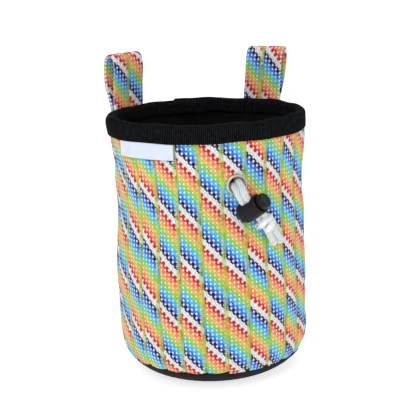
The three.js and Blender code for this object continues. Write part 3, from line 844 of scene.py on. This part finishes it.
def make_label(material):
    """A bare woven tag whose upper edge is under the binding; its lower edge stands off a little."""
    columns, rows = 64, 22
    span = math.degrees(LABEL_WIDTH / SHELL_RADIUS)
    angles = LABEL_ANGLE + span * (np.linspace(0, 1, columns) - 0.5)
    high = RIM_HEIGHT - BINDING_OUTSIDE_DEPTH + 2.0
    low = RIM_HEIGHT - BINDING_OUTSIDE_DEPTH - LABEL_HEIGHT
    share = np.linspace(0, 1, rows)[:, None]
    heights = low + (high - low) * share - rim_drop(angles)[None, :]
    lift = 0.55 + 0.5 * (1 - smoothstep(share, 0.0, 0.5))
    lift = lift + 0.15 * np.sin(np.linspace(0, 9, columns))[None, :] * (1 - share)
    radius = wall_radius(heights) + lift
    front = around(angles[None, :], radius + 0.35, heights)
    back = around(angles[None, :], radius - 0.1, heights)
    points = np.concatenate([front.reshape(-1, 3), back.reshape(-1, 3)])
    faces = grid_faces(rows, columns)
    size = rows * columns
    rim = ([k for k in range(columns)] + [r * columns + columns - 1 for r in range(1, rows)]
           + [(rows - 1) * columns + k for k in range(columns - 2, -1, -1)]
           + [r * columns for r in range(rows - 2, 0, -1)])
    band = [[rim[k - 1], rim[k - 1] + size, rim[k] + size, rim[k]] for k in range(len(rim))]
    piece = make_piece("label_tag", points, faces.tolist() + (faces[:, ::-1] + size).tolist() + band,
                       material)
    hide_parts("label")
    return piece


def grommet_frame():
    reach = GROMMET_RADIUS
    above, below = (float(wall_radius(GROMMET_HEIGHT + k)) for k in (reach, -reach))
    lean = math.atan2(above - below, 2 * reach)
    turn = math.radians(GROMMET_ANGLE)
    out = np.array([math.cos(lean) * math.sin(turn), -math.cos(lean) * math.cos(turn), -math.sin(lean)])
    level = np.array([math.cos(turn), math.sin(turn), 0.0])
    seat = max((above + below) / 2, float(wall_radius(GROMMET_HEIGHT))) + CLEARANCE
    return (level, out, np.cross(level, out)), around(GROMMET_ANGLE, seat, GROMMET_HEIGHT)


def make_grommet(material):
    """An eyelet with a rolled rim and a dished throat."""
    rim, bore, lip = GROMMET_RADIUS, GROMMET_BORE, GROMMET_LIP
    profile = rounded([
        (rim - 0.6, -0.1), (rim, 0.0), (rim, lip * 0.55), (rim - 0.45, lip * 0.95), (rim - 1.0, lip),
        (bore + 0.75, lip * 0.8), (bore + 0.2, lip * 0.35), (bore, -0.4), (bore, -2.8), (bore + 1.4, -3.0),
    ], 0.4, 4)
    points, faces = turned(profile, 72)
    piece = make_piece("eyelet", placed(points, *grommet_frame()), faces, material)
    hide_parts("grommet")
    return piece


def cord_piece(name, route, neighbour, material, seed):
    """One strand from the channel to its cut end, as a braided tube with closed ends. It is pressed
    against the other strand and a little frayed at the cut end."""
    line, run = route_line(route, 0.3)
    other, _ = route_line(neighbour, 0.3)
    length = run[-1]
    swell = 1 + 0.03 * np.sin(run / 3.1 + seed) + 0.02 * np.sin(run / 1.3 + 2 * seed)
    swell = swell + 0.12 * smoothstep(run, length - 5, length - 0.6)
    swell = swell - 0.1 * smoothstep(run, length - 0.6, length)
    radius = CORD_DIAMETER / 2 + 0.15
    gaps = other[None, :] - line[:, None]
    nearest = gaps[np.arange(len(line)), np.linalg.norm(gaps, axis=2).argmin(1)]
    away = np.linalg.norm(nearest, axis=1)
    towards = nearest / away[:, None] * np.clip((away / 2 + 0.1) / radius, 1.1, 1.4)[:, None]
    rings, relief = braid_tube(line, run, radius, swell, towards)
    facets = rings.shape[1]
    points = rings.reshape(-1, 3)
    faces = grid_faces(len(line), facets, True).tolist()
    ends = np.array([line[0], line[-1]])
    points = np.concatenate([points, ends])
    last = (len(line) - 1) * facets
    faces += [[len(points) - 2, (k + 1) % facets, k] for k in range(facets)]
    faces += [[len(points) - 1, last + k, last + (k + 1) % facets] for k in range(facets)]
    piece = make_piece(name, points, faces, material)
    point_values(piece, "relief", np.append(relief, [0.6, 0.6]))
    return piece, line * MM, length * MM


def make_knot(material):
    """Where the strands are knotted: two tight wraps that cross over a rounded core."""
    out, cord = np.array(LOCK_AXIS), np.array(LOCK_CORD)
    out = out / np.linalg.norm(out)
    cord = cord - out * cord.dot(out)
    cord /= np.linalg.norm(cord)
    across = np.cross(out, cord)
    centre = np.array(KNOT_CENTRE)
    points, faces, heights = [], [], []
    for shift, tilt, wide, tall, radius in KNOT_WRAPS:
        turn = full_turn(96)
        lean = math.tan(math.radians(tilt))
        line = (centre + np.outer(np.cos(turn) * wide, across) + np.outer(np.sin(turn) * tall, out)
                + np.outer(shift + np.cos(turn) * wide * lean + 0.5 * np.sin(2 * turn), cord))
        run = np.concatenate([[0], np.cumsum(np.linalg.norm(np.diff(line, axis=0), axis=1))])
        _, sides, ups = tube_rings(line, closed=True)
        facets = 48
        phi = full_turn(facets)
        s = run[:, None] / run[-1] * np.pi * 11
        relief = np.abs(np.cos(5 * phi + s)) ** 0.6 * np.abs(np.cos(5 * phi - s)) ** 0.6
        heights.append(0.5 + 0.5 * relief.ravel())
        size = radius - 0.15 + 0.15 * relief
        spoke = np.cos(phi)[:, None] * sides[:, None] + np.sin(phi)[:, None] * ups[:, None]
        ring = size[..., None] * spoke
        start = sum(map(len, points))
        points.append((line[:, None] + ring).reshape(-1, 3))
        wrap = grid_faces(len(line) + 1, facets, True) % (len(line) * facets)
        faces += (wrap + start).tolist()
    columns, rows = 40, 24
    turn, tilt = np.meshgrid(full_turn(columns), np.linspace(0.05, np.pi - 0.05, rows))
    bump = KNOT_LUMP_RADIUS * (1 + 0.07 * np.sin(5 * turn + 3 * tilt) + 0.05 * np.sin(9 * turn - 4 * tilt))
    ball = np.stack([np.cos(turn) * np.sin(tilt), np.sin(turn) * np.sin(tilt), np.cos(tilt)], -1)
    ball = ball * bump[..., None]
    start = sum(map(len, points))
    points.append((ball + np.array(KNOT_LUMP)).reshape(-1, 3))
    # Painted shade: the core's low relief values colour it a mottled darker grey than the wraps
    heights.append(0.3 + 0.2 * np.sin(7 * turn + 5 * tilt).ravel())
    faces += (grid_faces(rows, columns, True)[:, ::-1] + start).tolist()
    last = start + (rows - 1) * columns
    faces += [[start + k for k in range(columns)], [last + k for k in range(columns)][::-1]]
    piece = make_piece("strand_knot", np.concatenate(points), faces, material)
    point_values(piece, "relief", np.concatenate(heights))
    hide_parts("cord_knot")
    return piece


def slot_cutter(name, low, high, basis, origin):
    """A rounded slot along the cord, to cut the lock's body and button with."""
    radius = SLOT_WIDTH / 2
    turns = np.linspace(0, np.pi, 17)
    outline = [(radius * math.cos(t), high - radius + radius * math.sin(t)) for t in turns]
    outline += [(-radius * math.cos(t), low + radius - radius * math.sin(t)) for t in turns]
    ends = [np.array([(x, y, z) for x, y in outline]) for z in (-12.0, 12.0)]
    points = placed(np.concatenate(ends), basis, origin)
    count = len(outline)
    faces = [[k, (k + 1) % count, count + (k + 1) % count, count + k] for k in range(count)]
    faces += [list(range(count))[::-1], list(range(count, 2 * count))]
    mesh = bpy.data.meshes.new(name)
    mesh.from_pydata((points * MM).tolist(), [], faces)
    return add_to_scene(name, mesh)


def cut_with(piece, cutter):
    cut = piece.modifiers.new("cut", "BOOLEAN")
    cut.operation = "DIFFERENCE"
    cut.solver = "EXACT"
    cut.object = cutter
    graph = bpy.context.evaluated_depsgraph_get()
    mesh = bpy.data.meshes.new_from_object(piece.evaluated_get(graph))
    piece.modifiers.clear()
    piece.data = mesh
    mesh.shade_smooth()
    mesh.set_sharp_from_angle(angle=math.radians(38))
    bpy.data.objects.remove(cutter)


def lock_frame():
    out = np.array(LOCK_AXIS) / np.linalg.norm(LOCK_AXIS)
    cord = np.array(LOCK_CORD)
    cord = cord - out * cord.dot(out)
    cord /= np.linalg.norm(cord)
    return (np.cross(out, cord), out, cord), np.array(LOCK_CENTRE)


def make_lock(material):
    """The cord lock's body and its spring button, each with the slot that the strands run through."""
    basis, origin = lock_frame()
    r, low = LOCK_RADIUS, -LOCK_BELOW
    profile = [(0.01, low)]
    straight = low + LOCK_DOME + LOCK_CORNER
    profile += [(r - LOCK_CORNER + LOCK_CORNER * math.cos(t), straight - LOCK_CORNER * math.sin(t))
                for t in np.linspace(np.pi / 2, 0, 10)]
    profile += [
        (r + 0.05, -3.0), (r, 1.0), (r - 0.2, LOCK_ABOVE - 1.0), (r - 0.3, LOCK_ABOVE - 0.35),
        (r - 0.6, LOCK_ABOVE), (LOCK_BORE + 0.2, LOCK_ABOVE), (LOCK_BORE, LOCK_ABOVE - 0.3),
        (LOCK_BORE, straight), (r - LOCK_CORNER, low + 1.8), (0.01, low + 1.0),
    ]
    points, faces = turned(profile, 96)
    body = make_piece("lock_housing", placed(points, basis, origin), faces, material)
    cut_with(body, slot_cutter("body_slot", -SLOT_LENGTH / 2, SLOT_LENGTH / 2, basis, origin))
    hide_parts("cord_lock_body")

    top = LOCK_ABOVE + BUTTON_OUT
    foot = LOCK_RADIUS - LOCK_CORNER - 0.2
    profile = rounded([
        (0.01, BUTTON_BOTTOM), (foot, BUTTON_BOTTOM), (BUTTON_RADIUS, BUTTON_BOTTOM + 2.0),
        (BUTTON_RADIUS, top - 0.75), (BUTTON_RADIUS - 0.75, top), (BUTTON_RADIUS - 1.3, top - 0.28),
        (0.01, top - 0.3),
    ], 0.45, 4)
    points, faces = turned(profile, 96)
    points = placed(points, basis, origin)
    button = make_piece("lock_plunger", points, faces, material, "lock_button")
    cut_with(button, slot_cutter("button_slot", -SLOT_LENGTH / 2, SLOT_LENGTH / 2 + 2.2, basis, origin))
    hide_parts("cord_lock_button")
    return body, button


# Belt loops

def loop_route():
    """The strap's middle line: outward steps from the binding and heights above the rim."""
    seat = CLEARANCE + LOOP_WALL / 2
    stand = seat + LOOP_STAND_OFF
    leaves = LOOP_WALL + CLEARANCE
    rim_leaves = LOOP_WALL + LOOP_RIM_GAP
    reach = (LOOP_GAP + LOOP_WALL) / 2
    low = -BINDING_OUTSIDE_DEPTH - LOOP_TUCK
    on_shell = SHELL_RADIUS - BINDING_RADIUS + seat
    below = -BINDING_OUTSIDE_DEPTH - LOOP_WALL / 2
    step = (below + low) / 2
    bend = LOOP_RISE - LOOP_WALL / 2 - reach
    route = [(on_shell, low), (on_shell, step), (stand, below), (stand, 0), (stand, bend * 0.5)]
    for turn in np.linspace(np.pi, 0, 7):
        route.append((stand + reach + reach * math.cos(turn), bend + reach * math.sin(turn)))
    route += [(stand + 2 * reach * LOOP_HALFWAY_SPREAD, bend * 0.5), (stand + rim_leaves, 0),
              (stand + leaves, below), (on_shell + leaves, step), (on_shell + leaves, low)]
    return np.array(route)


def strap_point(loop, across, outward, height):
    """A strap point, bent round the bag below the rim and flat, turned towards the back, above it."""
    angle, lean = LOOPS[loop]
    rim = RIM_HEIGHT - rim_drop(angle)
    bent = around(angle + np.degrees(across / BINDING_RADIUS), BINDING_RADIUS + outward, rim + height)
    pivot = LOOP_WALL + CLEARANCE
    twist = smoothstep(height, -BINDING_OUTSIDE_DEPTH, 0)
    face = angle + (math.copysign(LOOP_FACE_ANGLE, angle) - angle) * twist
    flat = around(angle, BINDING_RADIUS + pivot, rim + height) + around(face, outward - pivot, 0)
    flat = flat + around(face + 90, across - lean * np.maximum(0, height), 0)
    return bent * (1 - twist[..., None]) + flat * twist[..., None]


def make_loop(name, node, loop, material):
    """A strap of two bands with folded edges, up from the binding, over and back down."""
    route = loop_route()
    spans = np.concatenate([[0], np.cumsum(np.linalg.norm(np.diff(route, axis=0), axis=1))])
    run = np.linspace(0, spans[-1], 120)
    line = np.stack([curve_through(spans, route[:, k], run) for k in range(2)], -1)
    along = np.gradient(line, axis=0)
    along /= np.linalg.norm(along, axis=1)[:, None]

    half, thick = LOOP_WIDTH / 2, LOOP_WALL / 2
    faces_across = np.array([0, 0.35, 0.8, 1.5, 2.5, 4.5, 6.5, 8.5, 10.3, 11.2, 11.8, 12.1]) / 12.25 * half
    right = np.concatenate([faces_across, [half]])
    upper_x = np.concatenate([-right[::-1], right[1:]])
    edge = half - np.abs(upper_x)
    bulge = thick * np.sqrt(np.clip(1 - (1 - np.clip(edge / 1.0, 0, 1)) ** 2, 0, 1))
    bulge = bulge - 0.55 * np.exp(-(upper_x / 0.45) ** 2)
    bulge = bulge - 0.2 * (1 - smoothstep(np.abs(upper_x), 0.5, 1.5))
    bulge = bulge + 0.2 * np.sin(np.pi * np.clip(np.abs(upper_x) / half, 0, 1)) * (edge > 0.4)
    section_x = np.concatenate([upper_x, upper_x[-2:0:-1]])
    section_t = np.concatenate([bulge, -bulge[-2:0:-1]])
    columns = len(section_x)
    outward = line[:, 0, None] - along[:, 1, None] * section_t
    height = line[:, 1, None] + along[:, 0, None] * section_t
    across = np.broadcast_to(section_x, outward.shape)
    points = strap_point(loop, across, outward, height).reshape(-1, 3)
    faces = grid_faces(len(run), columns, True)

    j = faces[:, 0] % columns
    x_left, x_right = section_x[j], section_x[(j + 1) % columns]
    outer = np.array([k < len(upper_x) - 1 for k in range(columns)])[j]
    x_left, x_right = np.where(outer, -x_left, x_left), np.where(outer, -x_right, x_right)
    band = ((x_left + x_right) / 2 > 0).astype(int)
    start = np.where(band == 1, 0.0, -half - CHANNEL_LEFT)
    low, high = run[faces[:, 0] // columns], run[faces[:, 2] // columns]
    width = np.where(band == 1, half + CHANNEL_WIDTH, half + CHANNEL_LEFT)
    weave = weave_places(x_left - start, x_right - start, low, high, width)
    table = np.array(LOOP_STRIPES[loop])[band]
    stripe = np.stack([table[:, 0], table[:, 1], np.zeros(len(faces))], -1)[:, None].repeat(4, 1)
    piece = make_piece(name, points, faces, material)
    corner_values(piece, "weave", weave)
    corner_values(piece, "stripe", stripe)
    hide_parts(node)
    return piece


# Stage

def make_stage():
    """A pale floor, an even pale surround and two large soft lights."""
    mesh = bpy.data.meshes.new("floor")
    near, far = -FLOOR_REACH, FLOOR_REACH
    corners = [(x, y, FLOOR_LEVEL) for x, y in ((near, near), (far, near), (far, far), (near, far))]
    mesh.from_pydata(corners, [], [(0, 1, 2, 3)])
    floor = add_to_scene("floor", mesh)
    nodes = Nodes("floor")
    nodes.set("Base Color", (0.6, 0.6, 0.6, 1))
    nodes.surface(0.9, 0.0)
    nodes.set("Emission Color", (1, 1, 1, 1))
    nodes.set("Emission Strength", 0.72)
    mesh.materials.append(nodes.material)

    world = bpy.data.worlds.new("surround")
    world.use_nodes = True
    world.node_tree.nodes["Background"].inputs[0].default_value = (1, 1, 1, 1)
    world.node_tree.nodes["Background"].inputs[1].default_value = 0.8
    bpy.context.scene.world = world

    for name, place, size, power in LIGHTS:
        data = bpy.data.lights.new(name, "AREA")
        data.size = size
        data.energy = power
        light = add_to_scene(name, data)
        light.location = place
        light.rotation_mode = "QUATERNION"
        light.rotation_quaternion = (Vector(LIGHT_AIM) - Vector(place)).to_track_quat("-Z", "Y")


# Making the scene

make_camera()
cord_white = braided_cord()
left_cord, left_path, left_length = cord_piece("strand_left", STRAND_LEFT, STRAND_RIGHT, cord_white, 0.0)
right_cord, right_path, right_length = cord_piece(
    "strand_right", STRAND_RIGHT, STRAND_LEFT, cord_white, 2.0)
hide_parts("drawcord_left", "drawcord_tail_left")
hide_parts("drawcord_right", "drawcord_tail_right")
knot = make_knot(cord_white)
housing, plunger = make_lock(satin_plastic())

fabric = striped_fabric()
make_shell(fabric)
make_base(plain_cloth("black_fabric", colour(8, 8, 9), colour(26, 26, 28), 2.2, 0.25))
make_lining(plain_cloth("black_fleece", colour(4, 4, 5), colour(17, 17, 18), 1.3, 0.5, 1.0, 0.04, 0.02))
make_binding(ribbed_tape())
make_label(label_cloth())
make_grommet(brushed_nickel())
make_loop("loop_left", "belt_loop_left", "left", fabric)
make_loop("loop_right", "belt_loop_right", "right", fabric)

make_stage()
bpy.context.scene.view_settings.view_transform = "Standard"
